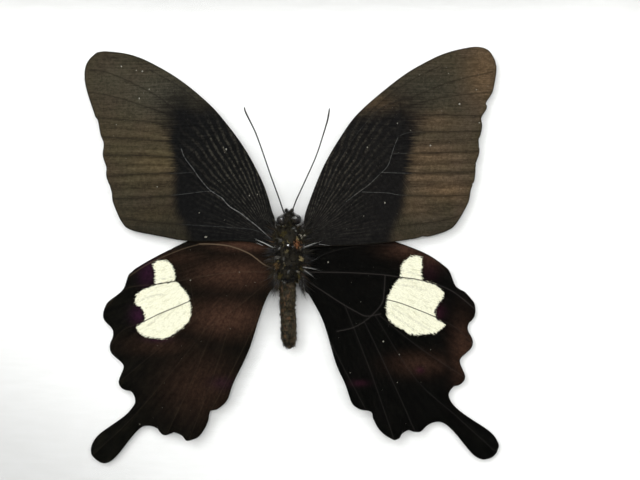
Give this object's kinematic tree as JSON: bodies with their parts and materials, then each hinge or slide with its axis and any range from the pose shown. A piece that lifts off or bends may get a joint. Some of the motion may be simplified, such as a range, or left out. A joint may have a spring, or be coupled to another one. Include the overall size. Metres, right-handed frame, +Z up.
{
  "type": "framed butterfly specimen",
  "caption": "Dark swallowtail butterfly with cream hindwing patches and spatulate tails, spread and pinned on a white board in a glazed wooden box frame.",
  "frame": {"origin": "middle of the underside of the frame, in the middle of the whole depth", "axes": "+X to the viewer's right along the frame's width, +Y from the glass to the back, +Z up towards the butterfly's head"},
  "size_m": [0.231, 0.037, 0.18],
  "materials": {
    "walnut": "stained walnut moulding, satin, fine open grain",
    "glass": "clear picture glass, polished",
    "foam_board": "white paper-faced foam board, matt, with a faint paper texture",
    "hardboard": "brown hardboard, matt, faintly mottled",
    "steel": "plated steel, lightly worn",
    "brass": "brass-plated nail, satin",
    "rubber": "black rubber, matt",
    "wing_scales": "scaled wing: charcoal black, streaky olive-brown outer forewing, cream hindwing patch, matt",
    "body_hair": "black and olive-brown hair over dark skin, matt",
    "horn": "black horny skin of the antennae, legs and proboscis, satin",
    "eye": "dark brown compound eye, glossy"
  },
  "bodies": {
    "root": {"abdomen": "body_hair", "antenna_left": "horn", "antenna_right": "horn", "backing_board": "hardboard", "bumper_left": "rubber", "bumper_right": "rubber", "eye_left": "eye", "eye_right": "eye", "forewing_left": "wing_scales", "forewing_right": "wing_scales", "glass_pane": "glass", "hanger": "steel", "hanger_nail_left": "brass", "hanger_nail_right": "brass", "head": "body_hair", "hindwing_left": "wing_scales", "hindwing_right": "wing_scales", "leg_front_left": "horn", "leg_front_right": "horn", "leg_hind_left": "horn", "leg_hind_right": "horn", "leg_middle_left": "horn", "leg_middle_right": "horn", "mount_board": "foam_board", "palp_left": "body_hair", "palp_right": "body_hair", "pin": "steel", "point_bottom_1": "steel", "point_bottom_2": "steel", "point_left_1": "steel", "point_left_2": "steel", "point_right_1": "steel", "point_right_2": "steel", "point_top_1": "steel", "point_top_2": "steel", "proboscis": "horn", "rail_bottom": "walnut", "rail_left": "walnut", "rail_right": "walnut", "rail_top": "walnut", "spacer_bottom": "foam_board", "spacer_left": "foam_board", "spacer_right": "foam_board", "spacer_top": "foam_board", "thorax": "body_hair"}
  },
  "joints": []
}
